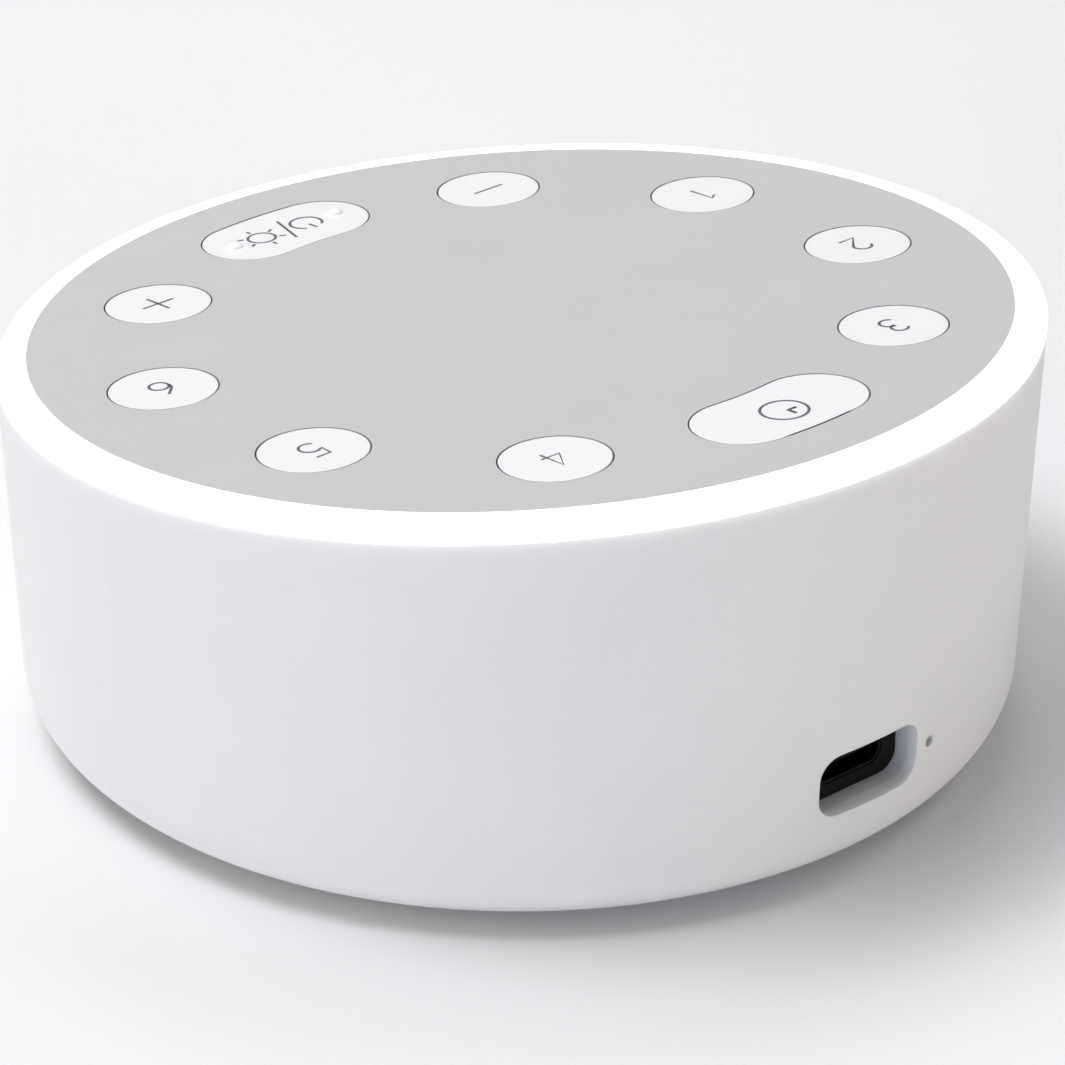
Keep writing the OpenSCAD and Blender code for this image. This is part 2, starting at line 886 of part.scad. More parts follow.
// Shallow dome that closes the cone's middle
module dust_cap() {
    dome_r = 9;
    base_r = 6.6;
    base_z = flange_z + 5.6;
    sink = sqrt(dome_r * dome_r - base_r * base_r);
    color(black) at_speaker() intersection() {
        translate([0, 0, base_z + sink]) difference() {
            sphere(dome_r);
            sphere(dome_r - 0.4);
        }
        ring(base_r, 0, base_z - 4, base_z);
    }
}

// Former tube with its winding, in the magnet's gap
module voice_coil() {
    former_z = flange_z + 5.6;
    color([0.72, 0.42, 0.2]) at_speaker() {
        ring(coil_r, coil_r - 0.3, former_z, top_plate_z + top_plate_t + 0.6);
        ring(coil_r + 0.45, coil_r - eps, top_plate_z - 0.8, top_plate_z + top_plate_t + 0.2);
    }
}

// Corrugated disc that centres the coil
module speaker_spider() {
    waves = 4;
    wave_h = 0.7;
    r0 = coil_r + 0.03;
    r1 = spider_seat_r + 1;
    pitch = (r1 - 1 - r0) / (2 * waves);
    skin = 0.35;
    color([0.75, 0.6, 0.3]) at_speaker() rotate_extrude() polygon(concat(
        [for (i = [0:2 * waves]) [r0 + i * pitch, spider_z + (i % 2) * wave_h]],
        [[r1, spider_z], [r1, spider_z + skin]],
        [for (i = [2 * waves:-1:0]) [r0 + i * pitch, spider_z + skin + (i % 2) * wave_h]]));
}

module speaker_top_plate() {
    color(steel) at_speaker() ring(pole_r, coil_r + coil_gap, top_plate_z, top_plate_z + top_plate_t);
}

module speaker_magnet() {
    color([0.22, 0.22, 0.24]) at_speaker() ring(magnet_r, magnet_in, top_plate_z + top_plate_t, yoke_z);
}

module speaker_yoke() {
    color(steel) at_speaker() {
        ring(pole_r, 0, yoke_z, yoke_z + top_plate_t);
        ring(coil_r - 0.7, 0, top_plate_z, yoke_z + eps);
    }
}

module speaker_screws() {
    color(steel) at_speaker() at_angles(ear_angles, ear_r)
        translate([0, 0, flange_top_z]) pan_screw(speaker_screw_r, 2.9, 2, 1.2);
}

// -------------------------------------------------------------------- battery

// Puts its children on the cell's axis, with +Z along the cell
module at_cell() {
    translate([0, cell_y, cell_z]) rotate([0, 90, 0]) children();
}

module battery_cell() {
    button_end_r = 3;
    crimp_z = cell_l / 2 - 5;
    color([0.2, 0.35, 0.6]) at_cell() difference() {
        union() {
            ring(cell_r, 0, -cell_l / 2, cell_l / 2 - 1);
            ring(button_end_r, 0, cell_l / 2 - 1.2, cell_l / 2);
        }
        ring(cell_r + 1, cell_r - 0.5, crimp_z, crimp_z + 1);
    }
}

// Two bent steel straps over the cell, each hooked into the plate behind the cell
// and screwed down in front of it
module battery_straps() {
    half = strap_w / 2;
    out = strap_in + strap_t;
    color(steel) for (x = strap_places) difference() {
        union() {
            translate([x - half, cell_y, cell_z]) rotate([90, 0, 90]) linear_extrude(height = strap_w)
                difference() {
                    union() {
                        circle(out);
                        translate([-out, floor_top - cell_z]) square([2 * out, cell_z - floor_top]);
                        translate([strap_in, floor_top - strap_hook - cell_z]) square([strap_t, 2]);
                    }
                    circle(strap_in);
                    translate([-strap_in, -cell_z]) square([2 * strap_in, cell_z]);
                }
            block([x - half, cell_y - out - strap_foot_l, floor_top],
                [x + half, cell_y - strap_in - eps, floor_top + strap_t]);
        }
        translate([x, strap_screw_y, 0]) ring(strap_screw_r + 0.2, 0, 0, floor_top + 2);
    }
}

module strap_screws() {
    color(steel) for (x = strap_places) translate([x, strap_screw_y, floor_top + strap_t])
        pan_screw(strap_screw_r, 2.2, 1.8, 1.1);
}

// ----------------------------------------------------------------------- base

// Holes of the speaker's grille: a middle hole and rings of 6, 12, 18 and so on
module grille_holes() {
    hole_r = 1.1;
    circle(hole_r);
    for (k = [1:grille_rings], i = [0:6 * k - 1])
        rotate([0, 0, i * 60 / k]) translate([k * grille_pitch, 0]) circle(hole_r);
}

// Rib across the plate that cradles the battery
module cradle_rib(x) {
    half_w = cell_r + 0.9;
    half_t = 0.8;
    difference() {
        block([x - half_t, cell_y - half_w, floor_top - eps], [x + half_t, cell_y + half_w, cell_z - 4]);
        at_cell() ring(cell_r + 0.1, 0, -cell_l, cell_l);
    }
}

module base_plate() {
    field_r = grille_rings * grille_pitch + 2.2;
    rib_step = 13;
    speaker_post_r = 2.6;
    usb_post_r = 2.4;
    color(white) difference() {
        union() {
            ring(plate_r, 0, plate_z, floor_top);
            for (x = [-rib_step, 0, rib_step]) cradle_rib(x);
            at_speaker() at_angles(ear_angles, ear_r) ring(speaker_post_r, 0, floor_top - eps, flange_z);
            for (x = [-usb_post_x, usb_post_x]) translate([x, usb_post_y, 0])
                ring(usb_post_r, 0, floor_top - eps, usb_board_top - usb_board_t);
        }
        at_speaker() {
            ring(field_r, 0, 0, plate_z + 0.5);
            linear_extrude(height = floor_top + 1) grille_holes();
            at_angles(ear_angles, ear_r) ring(speaker_screw_r + thread_gap, 0, plate_z + 1.2, flange_z + 1);
        }
        at_angles(foot_angles, foot_circle_r) ring(foot_r + 0.1, 0, 0, plate_z + foot_pocket);
        at_angles(base_screw_angles, base_screw_r) {
            ring(base_hole_r, 0, 0, floor_top + 1);
            translate([0, 0, plate_z - eps]) cylinder(h = 1.4, r1 = 3, r2 = base_hole_r);
        }
        for (x = [-usb_post_x, usb_post_x]) translate([x, usb_post_y, 0])
            ring(usb_screw_r + thread_gap, 0, floor_top, usb_board_top);
        for (x = strap_places) {
            translate([x, strap_screw_y, 0])
                ring(strap_screw_r + thread_gap, 0, plate_z + 0.4, floor_top + 1);
            block([x - strap_w / 2 - 0.1, cell_y + strap_in - 0.1, floor_top - strap_hook - 0.1],
                [x + strap_w / 2 + 0.1, cell_y + strap_in + strap_t + 0.1, floor_top + 1]);
        }
    }
}

// Four round feet, stuck in shallow pockets, with a rounded lower edge
module rubber_feet() {
    edge = 0.5;
    top = plate_z + foot_pocket;
    color([0.55, 0.55, 0.57]) at_angles(foot_angles, foot_circle_r) rotate_extrude() {
        polygon([[0, 0], [foot_r - edge, 0], [foot_r - edge, edge], [foot_r, edge], [foot_r, top], [0, top]]);
        translate([foot_r - edge, edge]) circle(edge);
    }
}

// Countersunk screws, up through the plate into the body's bosses
module base_screws() {
    color(steel) at_angles(base_screw_angles, base_screw_r) translate([0, 0, plate_z]) difference() {
        union() {
            cylinder(h = 1.3, r1 = 2.85, r2 = 1.45);
            cylinder(h = 10, r = self_tap_r);
        }
        mirror([0, 0, 1]) cross_recess(0, 1.7, 0.8);
    }
}

housing();
light_ring();
top_panel();
button_deck();
deck_screws();
power_light_button();
timer_button();
volume_up_button();
volume_down_button();
sound_1_button();
sound_2_button();
sound_3_button();
sound_4_button();
sound_5_button();
sound_6_button();
power_light_plunger();
timer_plunger();
volume_up_plunger();
volume_down_plunger();
sound_1_plunger();
sound_2_plunger();
sound_3_plunger();
sound_4_plunger();
sound_5_plunger();
sound_6_plunger();
switch_bodies();
main_board();
board_screws();
ring_leds();
sound_processor();
amplifier_chip();
memory_chip();
board_capacitors();
ribbon_sockets();
ribbon_cable();
usb_board();
usb_board_screws();
usb_shell();
usb_tongue();
usb_contacts();
port_insert();
status_led();
status_light_pipe();
speaker_basket();
speaker_gasket();
speaker_surround();
speaker_cone();
dust_cap();
voice_coil();
speaker_spider();
speaker_top_plate();
speaker_magnet();
speaker_yoke();
speaker_screws();
battery_cell();
battery_straps();
strap_screws();
base_plate();
rubber_feet();
base_screws();
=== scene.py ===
import json
import math

import bmesh
import bpy
from mathutils import Matrix, Vector


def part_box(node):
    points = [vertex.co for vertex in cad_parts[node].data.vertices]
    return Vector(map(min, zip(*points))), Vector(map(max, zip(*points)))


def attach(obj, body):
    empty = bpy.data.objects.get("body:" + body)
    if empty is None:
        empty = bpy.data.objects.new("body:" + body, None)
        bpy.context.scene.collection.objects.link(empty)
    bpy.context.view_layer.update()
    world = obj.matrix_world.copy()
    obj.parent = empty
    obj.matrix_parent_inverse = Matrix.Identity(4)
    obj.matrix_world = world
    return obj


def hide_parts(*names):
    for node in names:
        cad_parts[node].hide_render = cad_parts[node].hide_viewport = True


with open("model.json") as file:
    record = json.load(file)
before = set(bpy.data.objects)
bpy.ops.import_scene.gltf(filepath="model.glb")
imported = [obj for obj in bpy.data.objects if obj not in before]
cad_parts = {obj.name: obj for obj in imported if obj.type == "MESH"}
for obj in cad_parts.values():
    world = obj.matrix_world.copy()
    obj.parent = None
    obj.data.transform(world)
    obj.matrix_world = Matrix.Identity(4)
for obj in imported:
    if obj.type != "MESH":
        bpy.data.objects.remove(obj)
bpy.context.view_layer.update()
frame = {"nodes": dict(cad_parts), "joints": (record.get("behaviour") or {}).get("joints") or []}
nodes = frame["nodes"]
mm = 0.001

# ---------------------------------------------------------------- body shell
# The white body is one injection-moulded shell with a fine spark-eroded grain.
# It carries the glowing rim on top and takes the base plate from below.


def new_material(name):
    """An empty node material with a Principled shader and the piece's own coordinates."""
    made = bpy.data.materials.new(name)
    made.use_nodes = True
    tree = made.node_tree
    shader = tree.nodes["Principled BSDF"]
    place = tree.nodes.new("ShaderNodeTexCoord")
    return made, tree, shader, place.outputs["Object"]


def noise(tree, place, size, detail=2.0, roughness=0.5):
    """Noise whose blotches are about size metres across."""
    node = tree.nodes.new("ShaderNodeTexNoise")
    node.inputs["Scale"].default_value = 1.0 / size
    node.inputs["Detail"].default_value = detail
    node.inputs["Roughness"].default_value = roughness
    tree.links.new(place, node.inputs["Vector"])
    return node.outputs["Fac"]


NOISE_LOW, NOISE_HIGH = 0.3, 0.7


def ranged(tree, value, low, high):
    """The middle of a noise's values, spread from low to high."""
    node = tree.nodes.new("ShaderNodeMapRange")
    node.inputs["From Min"].default_value = NOISE_LOW
    node.inputs["From Max"].default_value = NOISE_HIGH
    node.inputs["To Min"].default_value = low
    node.inputs["To Max"].default_value = high
    tree.links.new(value, node.inputs["Value"])
    return node.outputs["Result"]


def mixed(tree, factor, colour_a, colour_b):
    """A colour between two others."""
    node = tree.nodes.new("ShaderNodeMix")
    node.data_type = "RGBA"
    node.inputs["A"].default_value = (*colour_a, 1)
    node.inputs["B"].default_value = (*colour_b, 1)
    tree.links.new(factor, node.inputs["Factor"])
    return node.outputs["Result"]


def bumped(tree, height, depth, shader):
    """Bump of the given depth in metres."""
    node = tree.nodes.new("ShaderNodeBump")
    node.inputs["Distance"].default_value = depth
    tree.links.new(height, node.inputs["Height"])
    tree.links.new(node.outputs["Normal"], shader.inputs["Normal"])


TONE_PATCH = 14 * mm
SHEEN_DRIFT = 0.05


def moulded_plastic(name, colour, rough, grain, depth, mottle=0.015, gloss=0.5):
    """Moulded plastic: a tone that drifts a little, and a grain in its surface and its sheen."""
    made, tree, shader, place = new_material(name)
    drift = noise(tree, place, TONE_PATCH, 3)
    darker = tuple(max(0.0, c - mottle) for c in colour)
    lighter = tuple(min(1.0, c + mottle) for c in colour)
    tree.links.new(mixed(tree, ranged(tree, drift, 0, 1), darker, lighter), shader.inputs["Base Color"])
    fine = noise(tree, place, grain, 3, 0.6)
    tree.links.new(ranged(tree, fine, rough - SHEEN_DRIFT, rough + SHEEN_DRIFT), shader.inputs["Roughness"])
    bumped(tree, fine, depth, shader)
    shader.inputs["Specular IOR Level"].default_value = gloss
    return made


def wear(name, made):
    """Gives a CAD node its finish."""
    node = nodes[name]
    node.data.materials.clear()
    node.data.materials.append(made)


SHELL_WHITE = (0.80, 0.80, 0.81)
LIGHT_DEPTH = 1.2 * mm
LIGHT_SHARE = 0.75
LIGHT_TINT = (1.0, 0.95, 0.9)


def let_light_in(made):
    """Lets light spread inside a white plastic, as it does near an edge or in a narrow slot."""
    shader = made.node_tree.nodes["Principled BSDF"]
    shader.inputs["Subsurface Weight"].default_value = LIGHT_SHARE
    shader.inputs["Subsurface Radius"].default_value = LIGHT_TINT
    shader.inputs["Subsurface Scale"].default_value = LIGHT_DEPTH


shell_white = moulded_plastic("shell_white", SHELL_WHITE,
                              rough=0.52, grain=0.7 * mm, depth=0.035 * mm, mottle=0.008, gloss=0.4)
let_light_in(shell_white)
wear("housing", shell_white)

# --------------------------------------------------------------- glowing rim
# The rim is a milky diffuser that drops into the shell's mouth. Lamps under it
# light it evenly, so it reads as one bright white band.

GLOW_COLOUR = (1.0, 0.995, 0.985, 1)
GLOW_STRENGTH = 0.6
GLOW_DRIFT = 0.04


def milky_diffuser(name):
    """White plastic that is lit from inside, a touch brighter and dimmer along its length."""
    made, tree, shader, place = new_material(name)
    cloud = noise(tree, place, 20 * mm, 2)
    glow = ranged(tree, cloud, GLOW_STRENGTH - GLOW_DRIFT, GLOW_STRENGTH + GLOW_DRIFT)
    tree.links.new(glow, shader.inputs["Emission Strength"])
    shader.inputs["Emission Color"].default_value = GLOW_COLOUR
    shader.inputs["Base Color"].default_value = (0.93, 0.93, 0.93, 1)
    fine = noise(tree, place, 0.25 * mm, 2)
    tree.links.new(ranged(tree, fine, 0.4, 0.5), shader.inputs["Roughness"])
    bumped(tree, fine, 0.004 * mm, shader)
    return made


wear("light_ring", milky_diffuser("milky_diffuser"))

# -------------------------------------------------------------- keypad panel
# The grey top is a thin moulded disc with ten openings, glued to the frame below
# it. Its grain is finer and flatter than the shell's.

PANEL_GREY = (0.585, 0.585, 0.595)
panel_grey = moulded_plastic("panel_grey", PANEL_GREY,
                             rough=0.62, grain=0.20 * mm, depth=0.006 * mm, mottle=0.006, gloss=0.3)

# The panel's plane, from the CAD: its slant is the keys' own direction of travel.
press = next(j for j in frame["joints"] if j["name"] == "timer_press")["axis"]
slant = math.atan2(press[1], -press[2])
panel_low, panel_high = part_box("top_panel")
PANEL_RADIUS = (panel_high.x - panel_low.x) / 2
PANEL_THICKNESS = 1.6 * mm
panel_z = panel_high.z - PANEL_RADIUS * math.sin(slant)
on_panel = Matrix.Translation((0, 0, panel_z)) @ Matrix.Rotation(slant, 4, "X")
to_panel = on_panel.inverted()

# The keys stand on one circle, and the two long ones are swept along it.
KEY_COUNT = 10
LONG_KEY_COUNT = 2
FIRST_LONG_KEY = 2
KEY_CIRCLE = 38.3 * mm
KEY_GAP = 0.12 * mm
LONG_HALF_TURN = math.radians(6.6)
key_low, key_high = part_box("sound_2_button")
FLANGE = 0.9 * mm
key_radius = (key_high.x - key_low.x) / 2 - FLANGE
opening_radius = key_radius + KEY_GAP
PANEL_STEPS = 384
OPENING_STEPS = 96

# Points nearer to each other than this are one.
WELD = 0.001 * mm


def arc(cx, cy, r, start, stop, steps=28):
    """Points of an arc round cx, cy, from one angle to another in degrees."""
    turns = [math.radians(start + (stop - start) * i / steps) for i in range(steps + 1)]
    return [(cx + r * math.cos(t), cy + r * math.sin(t)) for t in turns]


def swept_opening(r):
    """Outline of a circle of radius r swept along the key circle, round its own middle."""
    turn = math.degrees(LONG_HALF_TURN)
    cx, cy = KEY_CIRCLE * math.cos(LONG_HALF_TURN), KEY_CIRCLE * math.sin(LONG_HALF_TURN)
    outer = arc(0, 0, KEY_CIRCLE + r, -turn, turn)
    far_end = arc(cx, cy, r, turn, turn + 180)[1:]
    inner = arc(0, 0, KEY_CIRCLE - r, turn, -turn)[1:]
    near_end = arc(cx, -cy, r, 180 - turn, 360 - turn)[1:-1] + outer[:1]
    return [(x - KEY_CIRCLE, y) for x, y in outer + far_end + inner + near_end]


def drawn_curve(name, lines, unit=1.0):
    """A curve object with one spline for each line. A line that ends where it starts is closed."""
    drawing = bpy.data.curves.new(name, "CURVE")
    drawing.dimensions = "3D"
    for points in lines:
        closed = math.dist(points[0], points[-1]) < WELD
        kept = points[:-1] if closed else points
        spline = drawing.splines.new("POLY")
        spline.points.add(len(kept) - 1)
        spline.use_cyclic_u = closed
        for point, (x, y) in zip(spline.points, kept):
            point.co = (x * unit, y * unit, 0, 1)
    carrier = bpy.data.objects.new(name, drawing)
    bpy.context.scene.collection.objects.link(carrier)
    return carrier


def new_tree(name, sizes):
    """An empty geometry node tree with the carrier's curve and the named sizes as its inputs."""
    tree = bpy.data.node_groups.new(name, "GeometryNodeTree")
    tree.interface.new_socket("Outline", in_out="INPUT", socket_type="NodeSocketGeometry")
    for size in sizes:
        tree.interface.new_socket(size, in_out="INPUT", socket_type="NodeSocketFloat")
    tree.interface.new_socket("Piece", in_out="OUTPUT", socket_type="NodeSocketGeometry")
    return tree, tree.nodes.new("NodeGroupInput"), tree.nodes.new("NodeGroupOutput")


def finish_tree(tree, geometry, end, made):
    """Ends a tree: real geometry, welded, in its material."""
    real = tree.nodes.new("GeometryNodeRealizeInstances")
    weld = tree.nodes.new("GeometryNodeMergeByDistance")
    paint = tree.nodes.new("GeometryNodeSetMaterial")
    weld.inputs["Distance"].default_value = WELD
    paint.inputs["Material"].default_value = made
    tree.links.new(geometry, real.inputs["Geometry"])
    tree.links.new(real.outputs["Geometry"], weld.inputs["Geometry"])
    tree.links.new(weld.outputs["Geometry"], paint.inputs["Geometry"])
    tree.links.new(paint.outputs["Geometry"], end.inputs["Piece"])


def pierced_panel_tree(made):
    """A disc with a circle of openings: the carrier's long outline at two places, round ones at the rest."""
    sizes = ["Panel radius", "Thickness", "Key circle", "Opening radius"]
    tree, start, end = new_tree("pierced_panel", sizes)
    node, link = tree.nodes.new, tree.links.new
    rim = node("GeometryNodeCurvePrimitiveCircle")
    rim.inputs["Resolution"].default_value = PANEL_STEPS
    opening = node("GeometryNodeCurvePrimitiveCircle")
    opening.inputs["Resolution"].default_value = OPENING_STEPS
    stand = node("GeometryNodeMeshCircle")
    stand.inputs["Vertices"].default_value = KEY_COUNT
    turn = node("GeometryNodeTransform")
    turn.inputs["Rotation"].default_value = (0, 0, math.pi / KEY_COUNT)
    link(start.outputs["Panel radius"], rim.inputs["Radius"])
    link(start.outputs["Opening radius"], opening.inputs["Radius"])
    link(start.outputs["Key circle"], stand.inputs["Radius"])
    link(stand.outputs["Mesh"], turn.inputs["Geometry"])
    # Places are numbered from nought at the reader's right, so the long openings are numbers 2 and 7.
    index = node("GeometryNodeInputIndex")
    modulo = node("ShaderNodeMath")
    modulo.operation = "MODULO"
    modulo.inputs[1].default_value = KEY_COUNT / LONG_KEY_COUNT
    is_long = node("FunctionNodeCompare")
    is_long.data_type = "FLOAT"
    is_long.operation = "EQUAL"
    is_long.inputs["B"].default_value = FIRST_LONG_KEY
    is_round = node("FunctionNodeBooleanMath")
    is_round.operation = "NOT"
    link(index.outputs["Index"], modulo.inputs[0])
    link(modulo.outputs["Value"], is_long.inputs["A"])
    link(is_long.outputs["Result"], is_round.inputs[0])
    spot = node("GeometryNodeInputPosition")
    aim = node("FunctionNodeAlignRotationToVector")
    aim.axis = "X"
    link(spot.outputs["Position"], aim.inputs["Vector"])
    join = node("GeometryNodeJoinGeometry")
    link(rim.outputs["Curve"], join.inputs["Geometry"])
    for shape, chosen in ((opening.outputs["Curve"], is_round), (start.outputs["Outline"], is_long)):
        copies = node("GeometryNodeInstanceOnPoints")
        link(turn.outputs["Geometry"], copies.inputs["Points"])
        link(shape, copies.inputs["Instance"])
        link(chosen.outputs[0], copies.inputs["Selection"])
        link(aim.outputs["Rotation"], copies.inputs["Rotation"])
        link(copies.outputs["Instances"], join.inputs["Geometry"])
    real = node("GeometryNodeRealizeInstances")
    fill = node("GeometryNodeFillCurve")
    drop = node("ShaderNodeCombineXYZ")
    minus = node("ShaderNodeMath")
    minus.operation = "MULTIPLY"
    minus.inputs[1].default_value = -1
    walls = node("GeometryNodeExtrudeMesh")
    walls.inputs["Individual"].default_value = False
    both = node("GeometryNodeJoinGeometry")
    link(join.outputs["Geometry"], real.inputs["Geometry"])
    link(real.outputs["Geometry"], fill.inputs["Curve"])
    link(start.outputs["Thickness"], minus.inputs[0])
    link(minus.outputs["Value"], drop.inputs["Z"])
    link(fill.outputs["Mesh"], walls.inputs["Mesh"])
    link(drop.outputs["Vector"], walls.inputs["Offset"])
    link(fill.outputs["Mesh"], both.inputs["Geometry"])
    link(walls.outputs["Mesh"], both.inputs["Geometry"])
    finish_tree(tree, both.outputs["Geometry"], end, made)
    return tree


def run_tree(piece_name, carrier, tree, values, made):
    """Runs a tree on a carrier object and returns the result as a plain mesh piece at the origin."""
    live = carrier.modifiers.new("form", "NODES")
    live.node_group = tree
    for item in tree.interface.items_tree:
        if item.in_out == "INPUT" and item.name in values:
            live[item.identifier] = values[item.name]
    bpy.context.view_layer.update()
    shown = carrier.evaluated_get(bpy.context.evaluated_depsgraph_get())
    mesh = bpy.data.meshes.new_from_object(shown)
    carrier.modifiers.remove(live)
    bpy.data.objects.remove(carrier)
    mesh.name = piece_name
    mesh.materials.clear()
    mesh.materials.append(made)
    piece = bpy.data.objects.new(piece_name, mesh)
    bpy.context.scene.collection.objects.link(piece)
    return piece


def place_mesh(piece, matrix, crisp=None):
    """Moves a piece's mesh, welds it and turns its faces outwards. Edges under crisp degrees are smooth."""
    piece.data.transform(matrix)
    form = bmesh.new()
    form.from_mesh(piece.data)
    bmesh.ops.remove_doubles(form, verts=form.verts, dist=WELD)
    bmesh.ops.recalc_face_normals(form, faces=form.faces)
    form.to_mesh(piece.data)
    form.free()
    if crisp:
        piece.data.shade_smooth()
        piece.data.set_sharp_from_angle(angle=math.radians(crisp))


panel_sizes = {
    "Panel radius": PANEL_RADIUS,
    "Thickness": PANEL_THICKNESS,
    "Key circle": KEY_CIRCLE,
    "Opening radius": opening_radius,
}
long_opening = drawn_curve("long_opening", [swept_opening(opening_radius)])
panel = run_tree("keypad_panel", long_opening, pierced_panel_tree(panel_grey), panel_sizes, panel_grey)
place_mesh(panel, on_panel)
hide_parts("top_panel")
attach(panel, "case")

# ---------------------------------------------------------------------- keys
# Ten white caps stand flush in the panel, each on its own switch. They are
# smoother than the shell.

KEYS = ["power_light", "timer", "volume_up", "volume_down"] + ["sound_%d" % i for i in range(1, 7)]
# Painted shade: the dark colour a cap takes below the panel's face, where the gap round it lies in shade.
PAINTED_GAP_SHADE = (0.10, 0.10, 0.11)
GAP_TOP = -0.01 * mm
GAP_DEPTH = -0.08 * mm


def shade_the_gap(made):
    """Paints shade on a cap from its edge down, where the narrow gap round it lies in shade, so the gap reads
    as a thin line.
    """
    tree = made.node_tree
    shader = tree.nodes["Principled BSDF"]
    place = tree.nodes.new("ShaderNodeTexCoord")
    height = tree.nodes.new("ShaderNodeVectorMath")
    height.operation = "DOT_PRODUCT"
    upright = on_panel.to_3x3() @ Vector((0, 0, 1))
    height.inputs[1].default_value = upright
    tree.links.new(place.outputs["Object"], height.inputs[0])
    # The height is measured square to the panel, and so is that of the panel's face.
    surface = upright.z * panel_z
    ramp = tree.nodes.new("ShaderNodeMapRange")
    ramp.inputs["From Min"].default_value = surface + GAP_DEPTH
    ramp.inputs["From Max"].default_value = surface + GAP_TOP
    tree.links.new(height.outputs["Value"], ramp.inputs["Value"])
    shade = tree.nodes.new("ShaderNodeMix")
    shade.data_type = "RGBA"
    shade.inputs["A"].default_value = (*PAINTED_GAP_SHADE, 1)
    tree.links.new(shader.inputs["Base Color"].links[0].from_socket, shade.inputs["B"])
    tree.links.new(ramp.outputs["Result"], shade.inputs["Factor"])
    tree.links.new(shade.outputs["Result"], shader.inputs["Base Color"])


key_white = moulded_plastic("key_white", (0.955, 0.955, 0.965),
                            rough=0.38, grain=0.35 * mm, depth=0.002 * mm, mottle=0.006, gloss=0.5)
shade_the_gap(key_white)
for key in KEYS:
    wear(key + "_button", key_white)

# --------------------------------------------------------------- raised dots
# Two small domes near the ends of the power and light key let a finger find it
# in the dark. They are moulded with the cap, in the same white.

DOT_SPREAD = 6.8
POWER_KEY_Y = -38.1
DOT_RADIUS = 0.88 * mm
DOT_HEIGHT = 0.55 * mm
DOT_SEGMENTS = 48
DOT_RINGS = 24


def domes_tree(made):
    """Stands a dome on each point of the carrier's line."""
    tree, start, end = new_tree("domes", ["Dome radius", "Dome height"])
    node, link = tree.nodes.new, tree.links.new
    ball = node("GeometryNodeMeshUVSphere")
    ball.inputs["Segments"].default_value = DOT_SEGMENTS
    ball.inputs["Rings"].default_value = DOT_RINGS
    size = node("ShaderNodeCombineXYZ")
    spots = node("GeometryNodeCurveToPoints")
    spots.mode = "EVALUATED"
    copies = node("GeometryNodeInstanceOnPoints")
    link(start.outputs["Dome radius"], size.inputs["X"])
    link(start.outputs["Dome radius"], size.inputs["Y"])
    link(start.outputs["Dome height"], size.inputs["Z"])
    link(start.outputs["Outline"], spots.inputs["Curve"])
    link(spots.outputs["Points"], copies.inputs["Points"])
    link(ball.outputs["Mesh"], copies.inputs["Instance"])
    link(size.outputs["Vector"], copies.inputs["Scale"])
    finish_tree(tree, copies.outputs["Instances"], end, made)
    return tree


dot_line = drawn_curve("dot_line", [[(-DOT_SPREAD, POWER_KEY_Y), (DOT_SPREAD, POWER_KEY_Y)]], mm)
dot_sizes = {"Dome radius": DOT_RADIUS, "Dome height": DOT_HEIGHT}
dots = run_tree("raised_dots", dot_line, domes_tree(key_white), dot_sizes, key_white)
place_mesh(dots, on_panel, crisp=60)
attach(dots, "power_light_button")

# --------------------------------------------------------------- key legends
# The signs are thin grey lines cut a hair into the caps and filled with ink:
# plus, minus, power, light, a clock, and plain numbers for the six sounds.

INK_WIDTH = 0.31 * mm
INK_PROUD = 0.012 * mm
INK_DEPTH = 0.05 * mm


def numeral(digit):
    """The strokes of a plain number about 3.4 mm high, round its own middle."""
    if digit == 1:
        return [[(-0.7, 1.1), (0.15, 1.7), (0.15, -1.7)]]
    if digit == 2:
        return [arc(0, 0.72, 0.98, 165, -32) + [(-1.0, -1.7), (1.05, -1.7)]]
    if digit == 3:
        return [arc(-0.05, 0.82, 0.88, 150, -90) + arc(-0.05, -0.76, 0.94, 90, -150)]
    if digit == 4:
        return [[(0.45, -1.7), (0.45, 1.7), (-1.15, -0.75), (1.1, -0.75)]]
    if digit == 5:
        return [[(0.95, 1.7), (-0.75, 1.7), (-0.9, 0.2)] + arc(-0.02, -0.62, 1.08, 128, -140)]
    return [[(0.55, 1.7)] + arc(0.62, -0.5, 1.62, 128, 180, 10) + arc(0, -0.7, 1.0, 180, -180)]


# The other signs, in mm.
BAR_HALF = 1.95
SUN_R = 1.5
RAY_START, RAY_END = 1.92, 2.65
SUN_X = 3.25
POWER_R = 1.75
POWER_BAR = (0.55, 1.95)
POWER_X = -2.8
SLASH = [(-0.98, -2.7), (0.62, 2.7)]
CLOCK_R = 2.38
HANDS_CORNER = 0.2
MINUTE_HAND = 1.4
HOUR_HAND = 1.3
HAND_THICKER = 0.13
SIGN_Y = {"power_light": POWER_KEY_Y, "timer": 38.7}


def sun(cx, cy):
    """A lamp sign: a small circle with six rays."""
    rays = []
    for turn in range(30, 390, 60):
        c, s = math.cos(math.radians(turn)), math.sin(math.radians(turn))
        rays.append([(cx + reach * c, cy + reach * s) for reach in (RAY_START, RAY_END)])
    return [arc(cx, cy, SUN_R, 0, 360)] + rays


def power_sign(cx, cy):
    """A ring open at the top with a bar in the opening."""
    return [arc(cx, cy, POWER_R, 125, 415), [(cx, cy + end) for end in POWER_BAR]]


def clock(r):
    """A clock face with two short hands, each drawn twice side by side to make it bolder."""
    corners = (HANDS_CORNER, HANDS_CORNER + HAND_THICKER)
    hands = [[(-corner, MINUTE_HAND), (-corner, corner), (-HOUR_HAND, corner)] for corner in corners]
    return [arc(0, 0, r, 0, 360)] + hands


